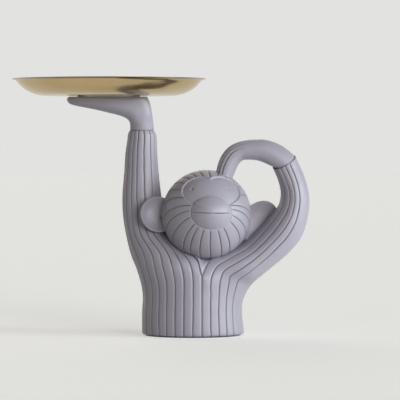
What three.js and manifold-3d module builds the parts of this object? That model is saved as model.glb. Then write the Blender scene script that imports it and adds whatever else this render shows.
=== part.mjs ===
// Monkey figurine that holds up a round tray.
// Millimetres, +Z up. The viewer stands at -Y, and the origin is the middle of the face it rests on.
import * as THREE from 'three';
import { mergeVertices } from 'three/addons/utils/BufferGeometryUtils.js';
import Module from 'manifold-3d';

const wasm = await Module();
wasm.setup();

// Fits
const FIT_GAP = 0.3; // glue line round every joint between two castings
const PIN_END_GAP = 0.5; // room past the end of a pin in its hole

// Trunk
const FELT_THICKNESS = 1;
const FELT_INSET = 2.5;
const BASE_WIDTH = 78.6;
const BASE_DEPTH = 63;
const BASE_ROUND = 1.5;
const SPLIT_HEIGHT = 47.2; // where the front line forks and the arms part
const SADDLE_RISE = 14; // how far the bridge between the arms stands above the fork
const CREST_SQUARENESS = 6;
const SHOULDER_BEND = 1.1; // over 1, a trunk ring stays level in the middle and drops late

// Carved lines
const LEFT_LINES = 18; // from the front fork line round the left side to the back one
const RIGHT_LINES = 14;
const LINE_WIDTH = 1.1;
const LINE_DEPTH = 0.7;
const FORK_OFFSET = 6.8; // the front line stands this far to the right of the middle

// Head
const HEAD_CENTRE = new THREE.Vector3(10.3, -12, 93.2);
const HEAD_RADII = new THREE.Vector3(34.2, 33.5, 34.3);
const HEAD_TURN = THREE.MathUtils.degToRad(6.7);
const HEAD_TILT = THREE.MathUtils.degToRad(4.6); // the face looks up
const HEAD_LEAN = THREE.MathUtils.degToRad(1.5); // and the head leans to the right
const MUZZLE_HALF_WIDTH = 14.9;
const MUZZLE_HALF_HEIGHT = 11.95;
const MUZZLE_BULGE = 4;
const MUZZLE_STEP = 0.9;
const MASK_DEPTH = 0.8;
const MOUTH_WIDTH = 29.4;
const MOUTH_OPENING = 0.8;
const MOUTH_DEPTH = 0.9;
const HAIR_LINES = 20;
const HAIR_SWEEP = THREE.MathUtils.degToRad(31); // how far the hair is combed down at the cheeks
const HAIR_END = THREE.MathUtils.degToRad(150);
const HAIR_MARGIN = 0.8; // plain rim between the mask and the first hair
const CARVED_WALL = 0.3; // how far a carved wall leans out of the square
const MASK_LEAST = 1.2; // groove left round the muzzle where the mask has run out
const MASK_SHIFT = 1.3; // the mask stands this far to the right of the muzzle

const EYE_DISTANCE = 23.5; // from the middle of the face
const EYE_TURN = THREE.MathUtils.degToRad(142.4); // from the chin
const EYE_DIAMETER = 2.8;
const LEFT_EYE_DEPTH = 0.8;
const RIGHT_EYE_DEPTH = 0.3; // all but worn away

// Ears
const EAR_RADIUS = 13.4;
const EAR_RIM = 4.6;
const EAR_DISH = 3;
const EAR_DROOP = THREE.MathUtils.degToRad(37); // a long ear runs down to the head
const EAR_TENON_DIAMETER = 3;
const EAR_TENON_LENGTH = 8;
const EAR_TENON_ROOT = 1.2; // where the tenon grows out of the ear, off the side of the head

// Hands
const CUFF_HEIGHT = 157.5;
const CUFF_ROUND = 3;
const TRAY_HAND_RISE = 26.3; // from the cuff to the flat of the palm
const PALM_TOP = CUFF_HEIGHT + TRAY_HAND_RISE;
const PALM_TRIM = 1; // skin above the palm that is cut away to make it flat
const PALM_CENTRE = new THREE.Vector2(-65, 4);
const WRIST_PIN_DIAMETER = 5;
const WRIST_PIN_LENGTH = 26;
const NECK_PIN_DIAMETER = 8;
const NECK_PIN_LENGTH = 38;
const NECK_PIN_BACK = 4; // behind the middle of the head
const RIGHT_WRIST_DRAW_IN = 0.7; // the right hand is this much slimmer than its cuff, all round
const HAND_SIDES = 32;
const TRAY_FINGER_SIDES = [12, 16, 20]; // where round a hand the lines between its fingers run
const RIGHT_FINGER_SIDES = [9, 11, 14];
const FINGER_LINE_DEPTH = 0.9;

// Palm fittings
const MAGNET_DIAMETER = 12;
const MAGNET_HEIGHT = 3;
const PAD_LENGTH = 48;
const PAD_WIDTH = 21;
const PAD_THICKNESS = 0.9;

// Tray
const TRAY_DIAMETER = 150;
const TRAY_FLOOR_DIAMETER = 98;
const TRAY_CORNER_RADIUS = 27.5;
const TRAY_CORNER_ANGLE = THREE.MathUtils.degToRad(55);
const TRAY_RIM_RISE = 1;
const TRAY_SHEET = 0.8;

// Materials
const resin = new THREE.MeshStandardMaterial({ color: 0x97929e, roughness: 0.75, metalness: 0 });
const gold = new THREE.MeshStandardMaterial({ color: 0xb08a4c, roughness: 0.32, metalness: 1 });
const steel = new THREE.MeshStandardMaterial({ color: 0x9a9ca0, roughness: 0.4, metalness: 1 });
const felt = new THREE.MeshStandardMaterial({ color: 0x3d3b40, roughness: 0.95, metalness: 0 });
const foam = new THREE.MeshStandardMaterial({ color: 0xd8d4cc, roughness: 0.9, metalness: 0 });

// Solids

// A geometry with only shared positions and no collapsed triangles.
function toSolid(geometry) {
  const bare = new THREE.BufferGeometry();
  const loose = geometry.index ? geometry.toNonIndexed() : geometry;
  bare.setAttribute('position', loose.getAttribute('position').clone());
  const merged = mergeVertices(bare, 1e-4);
  const corners = merged.index.array;
  const kept = [];
  for (let i = 0; i < corners.length; i += 3) {
    const [a, b, c] = corners.slice(i, i + 3);
    if (a !== b && b !== c && c !== a) kept.push(a, b, c);
  }
  const vertProperties = new Float32Array(merged.getAttribute('position').array);
  return new wasm.Manifold(new wasm.Mesh({ numProp: 3, vertProperties, triVerts: new Uint32Array(kept) }));
}

function toGeometry(solid) {
  const { vertProperties, triVerts } = solid.getMesh();
  const geometry = new THREE.BufferGeometry();
  geometry.setAttribute('position', new THREE.BufferAttribute(vertProperties, 3));
  geometry.setIndex(new THREE.BufferAttribute(triVerts, 1));
  geometry.computeVertexNormals();
  return geometry;
}

function makeMesh(name, geometry, material) {
  const mesh = new THREE.Mesh(geometry, material);
  mesh.name = name;
  return mesh;
}

// A closed surface sewn from rows of points: each strip joins two columns of equal length.
class Skin {
  points = [];

  triangle(a, b, c) {
    this.points.push(a, b, c);
  }

  strip(left, right) {
    for (let i = 0; i + 1 < left.length; i += 1) {
      this.triangle(left[i], right[i], right[i + 1]);
      this.triangle(left[i], right[i + 1], left[i + 1]);
    }
  }

  fan(centre, ring) {
    ring.forEach((point, i) => this.triangle(centre, point, ring[(i + 1) % ring.length]));
  }

  // Turned the right way out, whichever way round its strips were sewn.
  geometry() {
    let volume = 0;
    for (let i = 0; i < this.points.length; i += 3) {
      const [a, b, c] = this.points.slice(i, i + 3);
      volume += a.dot(new THREE.Vector3().crossVectors(b, c));
    }
    const points = volume < 0 ? this.points.toReversed() : this.points;
    return new THREE.BufferGeometry().setFromPoints(points);
  }
}

function middleOf(points) {
  const sum = points.reduce((total, point) => total.add(point), new THREE.Vector3());
  return sum.divideScalar(points.length);
}

function uprightCylinder(diameter, height, sides = 24) {
  return new THREE.CylinderGeometry(diameter / 2, diameter / 2, height, sides).rotateX(Math.PI / 2);
}

function signedPower(value, power) {
  return Math.sign(value) * Math.abs(value) ** power;
}

// Ribs: cross-sections of a limb
// A rib is an oval between an inner and an outer point of the front view, with its half depth and the Y of
// its middle. Angle 0 is the inner point, a quarter turn the front. The inner and the outer half can each be
// squarer or flatter than an oval. On a hand, fingers is the share of their full depth that the lines between
// the fingers have there. On an arm, fork is the angle of the two fork lines, in degrees, bunch draws the
// lines between them back towards the front, and where the arms still run together, crest is the top of the
// bridge between the fork lines. Lean is how far the front of the rib is moved in the front view.
const OVAL = 2;
const UPRIGHT = [0, 0];

function rib(inner, outer, depth, y, options = {}) {
  const { square = [OVAL, OVAL], fingers = 0, fork, crest, lean = UPRIGHT, bunch = 0 } = options;
  return { inner, outer, depth, y, square, fingers, fork, crest, lean, bunch };
}

function ribPoint({ inner, outer, depth, y, square, lean }, angle, sink = 0) {
  const halfWidth = Math.hypot(inner[0] - outer[0], inner[1] - outer[1]) / 2;
  const power = 2 / square[Math.cos(angle) > 0 ? 0 : 1];
  const across = signedPower(Math.cos(angle), power) * (1 - sink / halfWidth);
  const forward = signedPower(Math.sin(angle), power);
  return new THREE.Vector3(
    (inner[0] + outer[0] + across * (inner[0] - outer[0])) / 2 + forward * lean[0],
    y - forward * (depth - sink),
    (inner[1] + outer[1] + across * (inner[1] - outer[1])) / 2 + forward * lean[1],
  );
}

// The left arm, from the fork up to the cuff of the tray hand.
const leftArm = [
  rib([25.4, 61.5], [-43.6, 51.4], 30, 0, { fork: 66, crest: [3.6, 61.6], bunch: 0.04 }),
  rib([0, 68.8], [-47.8, 61.5], 26, 3, { fork: 45, crest: [-5, 68], bunch: 0.08 }),
  rib([-16.8, 81], [-52.2, 79], 19.5, 7, { fork: 24 }),
  rib([-22.5, 95], [-54.5, 95], 15.5, 9),
  rib([-24.9, 110], [-54.6, 110], 14.5, 9),
  rib([-26.6, 126], [-53.2, 126], 13.3, 8),
  rib([-27.6, 140], [-52.3, 140], 12.4, 6.5),
  rib([-28.1, CUFF_HEIGHT - 2 * CUFF_ROUND], [-50.6, CUFF_HEIGHT - 2 * CUFF_ROUND], 11.3, 5.2),
];
const leftCuff = [
  rib([-28.4, CUFF_HEIGHT - CUFF_ROUND], [-50.3, CUFF_HEIGHT - CUFF_ROUND], 11, 5),
  rib([-29.8, CUFF_HEIGHT], [-49.2, CUFF_HEIGHT], 9.7, 4.8),
];

// The right arm bends outward, up and back in to the cuff of the hand on the head. Its inner side is flat.
const INNER_FLAT = [1.6, OVAL];
const INNER_EASED = [1.8, OVAL];
const rightArm = [
  rib([-0.5, 67.6], [44.8, 38.6], 27, 0, {
    square: [OVAL, 1.75],
    fork: 63,
    crest: [12.4, 61.2],
    lean: [0, -2.5],
    bunch: 0.03,
  }),
  rib([21.4, 66.9], [48.9, 42.7], 25, -1.5, { fork: 40, crest: [23.8, 64.6] }),
  rib([38.2, 73.2], [58.9, 51.1], 21.3, -4.5, { fork: 28, square: INNER_EASED }),
  rib([51.2, 83.8], [73.2, 63.5], 17.5, -8.5, { fork: 17, square: INNER_FLAT }),
  rib([61, 94.4], [83.2, 76.1], 14.8, -11.5, { square: INNER_FLAT }),
  rib([65.8, 101.5], [88.1, 91.8], 12.8, -12.5, { square: INNER_FLAT }),
  rib([67.2, 110], [89.2, 107.3], 11.4, -13, { square: INNER_FLAT }),
  rib([65.6, 118.4], [85.7, 121.5], 10.5, -13, { square: INNER_EASED }),
  rib([62.9, 125.3], [81.6, 131], 10, -13, { lean: [0.9, -1.7] }),
];
const rightCuff = [rib([61.2, 128.9], [78.4, 138.1], 9.7, -13, { lean: [1.4, -2.7] })];

// Above the fork the lines of an arm are bunched towards its inner side. The lines of a side are counted from
// the front fork line round to the back one, and those from the first to the last plain one are not cut.
const arms = [
  {
    side: 1,
    lines: RIGHT_LINES,
    plain: [5, 9],
    bunch: 0,
    ribs: rightArm,
    cuff: rightCuff,
    spanSteps: [2, 2, 2, 1, 1, 1, 1, 1, 1],
  },
  {
    side: -1,
    lines: LEFT_LINES,
    plain: [],
    bunch: 0.09,
    ribs: leftArm,
    cuff: leftCuff,
    spanSteps: [2, 2, 1, 1, 1, 1, 1, 1],
  },
];

// Trunk rings: the left and right edge, and how far the ring drops towards each of them.
const LEVEL = { left: 0, right: 0 };
const trunk = [
  { z: FELT_THICKNESS + BASE_ROUND, left: -BASE_WIDTH / 2, right: BASE_WIDTH / 2, drop: LEVEL },
  { z: 18, left: -39.3, right: 37.8, drop: LEVEL },
  { z: 34, left: -38.7, right: 38.2, drop: { left: 4, right: 9 } },
  { z: SPLIT_HEIGHT, left: -40, right: 41.3, drop: { left: 8, right: 14 } },
];
const trunkSteps = [1, 1, 2];
const foot = {
  z: FELT_THICKNESS,
  left: BASE_ROUND - BASE_WIDTH / 2,
  right: BASE_WIDTH / 2 - BASE_ROUND,
  drop: LEVEL,
};

// Body: trunk and arms as one branching loft

// Columns of one half of the trunk run from the front fork line to the back one. Four columns make one
// line and the strip beside it: the floor of the line, its edge, the middle of the strip, the next edge.
const LINE_PITCH = (Math.PI * (BASE_WIDTH + BASE_DEPTH)) / 2 / (LEFT_LINES + RIGHT_LINES);
const LINE_SHARE = LINE_WIDTH / 2 / LINE_PITCH;

function halfColumns(lines) {
  const columns = [];
  for (let line = 0; line < lines; line += 1) {
    columns.push(line, line + LINE_SHARE, line + 0.5, line + 1 - LINE_SHARE);
  }
  return [...columns, lines];
}

// Columns of the bridge between the arms: the share of the way over a crest, and round a plain rib.
const bridgeColumns = [
  { onCrest: 0.01, onRib: 0.13 },
  { onCrest: 0.06, onRib: 0.27 },
  { onCrest: 0.2, onRib: 0.4 },
  { onCrest: 0.5, onRib: 0.5 },
  { onCrest: 0.8, onRib: 0.6 },
  { onCrest: 0.94, onRib: 0.73 },
  { onCrest: 0.99, onRib: 0.87 },
];

// A point on the arch that runs from the front fork line up over a crest and down to the back one.
function archPoint(front, back, crest, share) {
  const turn = Math.PI * share;
  const middle = new THREE.Vector3().addVectors(front, back).divideScalar(2);
  const reach = new THREE.Vector3().subVectors(front, back).divideScalar(2);
  const rise = new THREE.Vector3(crest[0], middle.y, crest[1]).sub(middle);
  return middle
    .addScaledVector(reach, signedPower(Math.cos(turn), 2 / CREST_SQUARENESS))
    .addScaledVector(rise, Math.sin(turn) ** (2 / CREST_SQUARENESS));
}

// A point on a trunk ring, a share of the way from the front fork line to the back one along the oval.
function trunkPoint({ z, left, right, drop }, side, share, sink) {
  const middle = (left + right) / 2;
  const halfWidth = (right - left) / 2 - sink;
  const halfDepth = BASE_DEPTH / 2 - sink;
  const fork = Math.asin((FORK_OFFSET - middle) / halfWidth);
  const sweep = side * Math.PI - 2 * fork;
  const steps = 90;
  const ovalAt = (step) => {
    const turn = fork + (sweep * step) / steps;
    return [middle + halfWidth * Math.sin(turn), -halfDepth * Math.cos(turn)];
  };
  const lengths = [0];
  for (let step = 1; step <= steps; step += 1) {
    const [[x0, y0], [x1, y1]] = [ovalAt(step - 1), ovalAt(step)];
    lengths.push(lengths[step - 1] + Math.hypot(x1 - x0, y1 - y0));
  }
  const wanted = lengths[steps] * share;
  const next = Math.min(steps, 1 + lengths.slice(1).filter((length) => length < wanted).length);
  const part = (wanted - lengths[next - 1]) / (lengths[next] - lengths[next - 1]);
  const [x, y] = ovalAt(next - 1 + part);
  const edge = x < FORK_OFFSET ? 'left' : 'right';
  const outward = (x - FORK_OFFSET) / ({ left, right }[edge] - FORK_OFFSET);
  return new THREE.Vector3(x, y, z - drop[edge] * outward ** SHOULDER_BEND);
}

// Points along a smooth curve, with a count of steps for each span between two controls.
function sampleCurve(controls, spanSteps) {
  const curve = new THREE.CatmullRomCurve3(controls);
  const spans = controls.length - 1;
  const points = [controls[0].clone()];
  spanSteps.forEach((steps, span) => {
    for (let step = 1; step <= steps; step += 1) points.push(curve.getPoint((span + step / steps) / spans));
  });
  return points;
}

// The body, grown by a clearance where it is used to trim a neighbour.
function bodyGeometry(grow = 0) {
  const skin = new Skin();
  const split = trunk.at(-1);
  const grown = { ...foot, z: foot.z - grow };
  const forkOf = ({ fork }, lines) => (fork ? THREE.MathUtils.degToRad(fork) : Math.PI / (lines + 1));

  const halves = arms.map((arm) => {
    const { side, lines, plain, ribs, cuff, spanSteps } = arm;
    const isCut = (line) => Number.isInteger(line) && !(line >= plain[0] && line <= plain[1]);
    const sinkOf = (line) => (isCut(line) ? LINE_DEPTH : 0) - grow;
    const armPoint = (line) => (section) => {
      const fork = forkOf(section, lines);
      const share = (2 * Math.min(line, lines - line)) / lines;
      const above = section.fork || share > 0.5 ? 0 : arm.bunch * Math.sin(2 * Math.PI * share);
      const bunch = above + section.bunch * Math.sin(Math.PI * share);
      const angle = fork + (Math.PI - fork) * (share - bunch);
      return ribPoint(section, 2 * line < lines ? angle : -angle, sinkOf(line));
    };
    const columns = halfColumns(lines).map((line) => {
      const low = trunk.map((ring) => trunkPoint(ring, side, line / lines, sinkOf(line)));
      const high = ribs.map(armPoint(line));
      const onFork = line === 0 || line === lines;
      const rising = onFork
        ? [...sampleCurve(low, trunkSteps), ...sampleCurve([low.at(-1), ...high], spanSteps).slice(1)]
        : sampleCurve([...low, ...high], [...trunkSteps, ...spanSteps]);
      return [trunkPoint(grown, side, line / lines, sinkOf(line)), ...rising, ...cuff.map(armPoint(line))];
    });
    return { ...arm, columns };
  });

  // The bridge runs from the left arm over the saddle to the right arm.
  const [right, left] = halves;
  const saddle = [FORK_OFFSET, SPLIT_HEIGHT + SADDLE_RISE + grow];
  const saddleEnds = [0, 1].map((share) => trunkPoint(split, 1, share, -grow));
  const bridge = bridgeColumns.map(({ onCrest, onRib }) => {
    const onArm = ({ lines }) => (section) => {
      const fork = forkOf(section, lines);
      if (!section.crest) return ribPoint(section, fork * (1 - 2 * onRib), -grow);
      const ends = [fork, -fork].map((angle) => ribPoint(section, angle, -grow));
      return archPoint(...ends, section.crest, onCrest);
    };
    const top = archPoint(...saddleEnds, saddle, onCrest);
    const controls = [...left.ribs.map(onArm(left)).reverse(), top, ...right.ribs.map(onArm(right))];
    const leftSteps = left.spanSteps.toReversed();
    const samples = sampleCurve(controls, [...leftSteps, ...right.spanSteps]);
    const middle = leftSteps.reduce((total, steps) => total + steps);
    return {
      [left.side]: [...samples.slice(0, middle + 1).reverse(), ...left.cuff.map(onArm(left))],
      [right.side]: [...samples.slice(middle), ...right.cuff.map(onArm(right))],
    };
  });

  const footRing = [];
  const forkRow = 1 + trunkSteps.reduce((total, steps) => total + steps);
  for (const { side, columns } of halves) {
    const sew = (a, b) => (side > 0 ? skin.strip(a, b) : skin.strip(b, a));
    columns.slice(1).forEach((column, i) => sew(columns[i], column));
    const inner = [
      columns.at(-1).slice(forkRow),
      ...bridge.map((column) => column[side]).reverse(),
      columns[0].slice(forkRow),
    ];
    inner.slice(1).forEach((column, i) => sew(inner[i], column));
    const cuffRing = [...columns, ...inner.slice(1, -1)].map((column) => column.at(-1));
    if (side < 0) cuffRing.reverse();
    skin.fan(middleOf(cuffRing), cuffRing);
    const footHalf = columns.map((column) => column[0]);
    if (side > 0) footRing.push(...footHalf.reverse());
    else footRing.push(...footHalf.slice(1, -1));
  }
  skin.fan(middleOf(footRing), footRing);
  return skin.geometry();
}

// Hands: tubes through ribs

// Lines between the fingers are sunk into some of the sides of the tube.
function handGeometry(ribs, fingerSides) {
  const skin = new Skin();
  const columns = Array.from({ length: HAND_SIDES }, (_, side) => {
    const lineDepth = fingerSides.includes(side) ? FINGER_LINE_DEPTH : 0;
    const controls = ribs.map((section) => {
      return ribPoint(section, (2 * Math.PI * side) / HAND_SIDES, lineDepth * section.fingers);
    });
    return sampleCurve(controls, ribs.slice(1).map(() => 1));
  });
  columns.forEach((column, i) => skin.strip(column, columns[(i + 1) % HAND_SIDES]));
  const start = columns.map((column) => column[0]);
  const end = columns.map((column) => column.at(-1));
  skin.fan(middleOf(start), start.reverse());
  skin.fan(middleOf(end), end);
  return skin.geometry();
}

// A cuff's seat for a hand: the arm's last rib, moved off by the glue line and drawn in a little.
function handSeat(cuff, drawIn) {
  const { inner, outer, depth, y, lean } = cuff;
  const width = Math.hypot(outer[0] - inner[0], outer[1] - inner[1]);
  const along = [(outer[0] - inner[0]) / width, (outer[1] - inner[1]) / width];
  const sideways = Math.sign(along[0]);
  const ahead = [-along[1] * sideways, along[0] * sideways];
  const move = ([x, z], way) => [
    x + way * drawIn * along[0] + ahead[0] * FIT_GAP,
    z + way * drawIn * along[1] + ahead[1] * FIT_GAP,
  ];
  return { seat: rib(move(inner, 1), move(outer, -1), depth - drawIn, y, { lean }), ahead };
}

// A pin along a wrist, half in the arm and half in the hand.
function wristPin(cuff, ahead) {
  const group = new THREE.Group();
  const { inner, outer, y } = cuff;
  group.position.set((inner[0] + outer[0]) / 2, y, (inner[1] + outer[1]) / 2);
  group.rotation.y = Math.atan2(ahead[0], ahead[1]);
  group.updateMatrix();
  const holeLength = WRIST_PIN_LENGTH + 2 * PIN_END_GAP;
  const hole = uprightCylinder(WRIST_PIN_DIAMETER + 2 * FIT_GAP, holeLength).applyMatrix4(group.matrix);
  return { group, hole: toSolid(hole) };
}

const trayWrist = handSeat(leftCuff.at(-1), 0);
const trayWristPin = wristPin(leftCuff.at(-1), trayWrist.ahead);
const rightWrist = handSeat(rightCuff.at(-1), RIGHT_WRIST_DRAW_IN);
const rightWristPin = wristPin(rightCuff.at(-1), rightWrist.ahead);

// The tray hand rises from the wrist and bends flat. Its inner side is the palm, trimmed level at the end.
const palmSkin = PALM_TOP + PALM_TRIM;
const trayHandRibs = [
  trayWrist.seat,
  rib([-30.6, CUFF_HEIGHT + 6.1], [-48.6, CUFF_HEIGHT + 4.1], 9.9, 4.6),
  rib([-31.6, CUFF_HEIGHT + 13.5], [-49, CUFF_HEIGHT + 6.7], 10.4, 4.4, { square: [3.2, 2.4] }),
  rib([-33.2, PALM_TOP - 4.8], [-50.6, PALM_TOP - 17.4], 11, 4.2, { square: [3.5, 2.4] }),
  rib([-36.6, palmSkin], [-53, PALM_TOP - 15.9], 11.8, 4.1, { square: [3.8, 2.4] }),
  rib([-46, palmSkin], [-57, PALM_TOP - 14.4], 12.6, 4, { square: [4, 2.4] }),
  rib([-60, palmSkin], [-65, PALM_TOP - 12.4], 13, 4, { square: [4.2, 2.4] }),
  rib([-72, palmSkin], [-75, PALM_TOP - 10], 12.6, 4, { square: [4.2, 2.4], fingers: 0.5 }),
  rib([-83, palmSkin], [-84, PALM_TOP - 8.2], 11.4, 4, { square: [4, 2.4], fingers: 1 }),
  rib([-90.6, palmSkin], [-91, PALM_TOP - 6.8], 9.4, 4, { square: [3.6, 2.4], fingers: 1 }),
  rib([-95.2, palmSkin - 0.6], [-95.4, PALM_TOP - 5.2], 6.4, 4, { square: [3.2, 2.4], fingers: 0.6 }),
  rib([-97.2, palmSkin - 2.4], [-97.2, PALM_TOP - 3.2], 2.6, 4, { square: [3, 2.4] }),
];

// The other hand arches over from its cuff and its fingers come down on the head.
const rightHandRibs = [
  rightWrist.seat,
  rib([58.6, 131.2], [72.6, 142.9], 9.1, -13, { lean: [0.9, -1.5] }),
  rib([54.2, 133.2], [65.3, 147.5], 9.2, -12.8, { lean: [0.3, -0.6] }),
  rib([50, 134.7], [56.5, 150.5], 9.2, -12.6),
  rib([45.8, 135.3], [49, 150.9], 9.2, -12.4),
  rib([42, 135.4], [42, 150.5], 9.2, -12.2, { square: [OVAL, 2.2] }),
  rib([38.4, 135], [34, 148.7], 9.1, -12, { square: [OVAL, 2.4], fingers: 0.4 }),
  rib([36, 133.2], [27.4, 145.2], 9, -12, { square: [OVAL, 2.6], fingers: 0.8 }),
  rib([34.2, 130.4], [22.6, 139.8], 8.9, -12, { square: [OVAL, 2.6], fingers: 1 }),
  rib([32.6, 127], [19.4, 133.2], 8.8, -12, { square: [OVAL, 2.6], fingers: 1 }),
  rib([31, 123], [17.8, 126.6], 8.6, -12, { square: [OVAL, 2.6], fingers: 1 }),
  rib([29.6, 118], [16.8, 120], 8.4, -12, { square: [OVAL, 2.6], fingers: 1 }),
];

// Head: rings round the middle of the face
// Places on the head are given by a turn about the face (0 is the chin, positive to the right) and
// by the distance from the middle of the face in the front view.

const headGroup = new THREE.Group();
headGroup.position.copy(HEAD_CENTRE);
headGroup.rotation.set(-HEAD_TILT, HEAD_LEAN, HEAD_TURN, 'ZXY');
headGroup.updateMatrix();

function headGlobe(grow) {
  const globe = new THREE.SphereGeometry(1, 40, 24).rotateX(Math.PI / 2);
  return globe.scale(HEAD_RADII.x + grow, HEAD_RADII.y + grow, HEAD_RADII.z + grow);
}

// Half of the mask outline, from the notch between the brows down to the muzzle:
// degrees from straight up, and the distance from the middle of the face.
const maskOutline = new THREE.SplineCurve(
  [[0, 26.5], [13, 29], [27, 30.2], [39.5, 30.2], [52, 28.5], [58, 26.1], [62.7, 22], [66, 16]]
    .map(([degrees, distance]) => new THREE.Vector2(degrees, distance)),
).getPoints(80);

function muzzleEdge(turn) {
  return 1 / Math.hypot(Math.sin(turn) / MUZZLE_HALF_WIDTH, Math.cos(turn) / MUZZLE_HALF_HEIGHT);
}

function maskEdge(turn) {
  const fromTop = 180 - Math.abs(THREE.MathUtils.radToDeg(turn));
  const next = maskOutline.findIndex((point) => point.x >= fromTop);
  const least = muzzleEdge(turn) + MASK_LEAST;
  return next < 0 ? least : Math.max(least, maskOutline[next].y + MASK_SHIFT * Math.sin(turn));
}

function headPoint(turn, polar, height) {
  const [ahead, aside] = [Math.cos(polar), Math.sin(polar)];
  const normal = new THREE.Vector3(aside * Math.sin(turn), -ahead, -aside * Math.cos(turn));
  const onGlobe = normal.clone().multiply(HEAD_RADII);
  return onGlobe.addScaledVector(normal, height);
}

function polarAt(distance) {
  return Math.asin(Math.min(1, distance / HEAD_RADII.x));
}

function headColumn(turn, lineDepth) {
  const muzzle = muzzleEdge(turn);
  const mask = maskEdge(turn);
  const recess = mask > muzzle + MASK_LEAST ? MASK_DEPTH : 0;
  const bulge = (share) => MUZZLE_STEP + (MUZZLE_BULGE - MUZZLE_STEP) * (1 - share ** 2);
  const points = [headPoint(turn, 0, MUZZLE_BULGE)];
  for (const share of [0.35, 0.7, 0.92, 1]) {
    points.push(headPoint(turn, polarAt(muzzle * share), bulge(share)));
  }
  points.push(headPoint(turn, polarAt(muzzle + CARVED_WALL), -recess));
  points.push(headPoint(turn, polarAt((muzzle + mask) / 2), -recess));
  points.push(headPoint(turn, polarAt(mask - CARVED_WALL), -recess));
  points.push(headPoint(turn, polarAt(mask), 0));
  const hairStart = polarAt(mask + HAIR_MARGIN);
  const rows = 6;
  for (let row = 0; row <= rows; row += 1) {
    const polar = hairStart + ((HAIR_END - hairStart) * row) / rows;
    const combed = Math.min(1, (polar - hairStart) / (Math.PI / 2 - polarAt(muzzle)));
    const depth = row === 0 || row === rows ? 0 : lineDepth;
    points.push(headPoint(turn - HAIR_SWEEP * combed * Math.sin(turn), polar, -depth));
  }
  points.push(headPoint(turn, Math.PI, 0));
  return points;
}

function headGeometry() {
  const skin = new Skin();
  const pitch = (2 * Math.PI) / HAIR_LINES;
  const share = LINE_WIDTH / 2 / (pitch * HEAD_RADII.x);
  const columns = [];
  for (let line = 0; line < HAIR_LINES; line += 1) {
    for (const step of [0, share, 0.5, 1 - share]) {
      columns.push(headColumn(pitch * (line + step) - Math.PI, step === 0 ? LINE_DEPTH : 0));
    }
  }
  columns.forEach((column, i) => skin.strip(columns[(i + 1) % columns.length], column));
  return skin.geometry();
}

// The mouth is a shallow level cut round the front of the muzzle.
function mouthCut() {
  const front = HEAD_RADII.y + MUZZLE_BULGE;
  const edge = (HEAD_RADII.y + MUZZLE_STEP) * Math.cos(polarAt(MUZZLE_HALF_WIDTH));
  const sag = front - edge;
  const curve = (MUZZLE_HALF_WIDTH ** 2 + sag ** 2) / (2 * sag);
  const half = Math.asin(MOUTH_WIDTH / 2 / curve);
  const crescent = new THREE.Shape();
  crescent.absarc(0, 0, curve - MOUTH_DEPTH, -Math.PI / 2 - half, -Math.PI / 2 + half, false);
  crescent.absarc(0, 0, curve + MOUTH_DEPTH, -Math.PI / 2 + half, -Math.PI / 2 - half, true);
  const cut = new THREE.ExtrudeGeometry(crescent, {
    depth: MOUTH_OPENING,
    bevelEnabled: false,
    curveSegments: 16,
  });
  return cut.translate(0, curve - front, -MOUTH_OPENING / 2);
}

// An eye is a small round dimple in the mask.
function eyeCut(side, depth) {
  const radius = EYE_DIAMETER ** 2 / 8 / depth + depth / 2;
  const middle = headPoint(side * EYE_TURN, polarAt(EYE_DISTANCE), radius - depth - MASK_DEPTH);
  return new THREE.SphereGeometry(radius, 16, 12).translate(...middle);
}

// Ears
// Each ear's middle stands out from the side of the head by its overhang and some way behind or above the
// head's own middle, and its stretch makes it longer towards the head.
const ears = [
  { name: 'left_ear', side: -1, overhang: 3, behind: 2.7, height: -0.5, stretch: 1.05 },
  { name: 'right_ear', side: 1, overhang: 6.5, behind: 1.2, height: -4.3, stretch: 1.3 },
];

// A shallow saucer that faces the viewer, from the back of its middle round the rim to the hollow.
function earDish() {
  const back = EAR_RIM / 2;
  const profile = [
    [0, -back],
    [EAR_RADIUS * 0.6, -back * 0.95],
    [EAR_RADIUS * 0.88, -back * 0.6],
    [EAR_RADIUS, back * 0.2],
    [EAR_RADIUS * 0.97, back * 0.8],
    [EAR_RADIUS * 0.91, back],
    [EAR_RADIUS * 0.75, back - EAR_DISH * 0.5],
    [EAR_RADIUS * 0.45, back - EAR_DISH * 0.9],
    [0, back - EAR_DISH],
  ].map(([radius, height]) => new THREE.Vector2(radius, height));
  return new THREE.LatheGeometry(profile, 28).rotateX(Math.PI);
}

function earTenon(ear, grow) {
  const radius = EAR_TENON_DIAMETER / 2 + grow;
  const length = EAR_TENON_LENGTH + (grow > 0 ? PIN_END_GAP : 0);
  const tenon = new THREE.CylinderGeometry(radius, radius, length, 20).rotateZ(Math.PI / 2);
  const root = HEAD_RADII.x + EAR_TENON_ROOT;
  return tenon.translate(ear.side * (root - length / 2), ear.behind, ear.height);
}

function earSolid(ear, neighbours) {
  const droop = ear.side * EAR_DROOP;
  const dish = earDish().rotateY(-droop).scale(1, 1, ear.stretch).rotateY(droop);
  dish.translate(ear.side * (HEAD_RADII.x + ear.overhang), ear.behind, ear.height);
  const trimmed = toSolid(dish).subtract(toSolid(headGlobe(FIT_GAP))).subtract(neighbours);
  return trimmed.add(toSolid(earTenon(ear, 0)));
}

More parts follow.
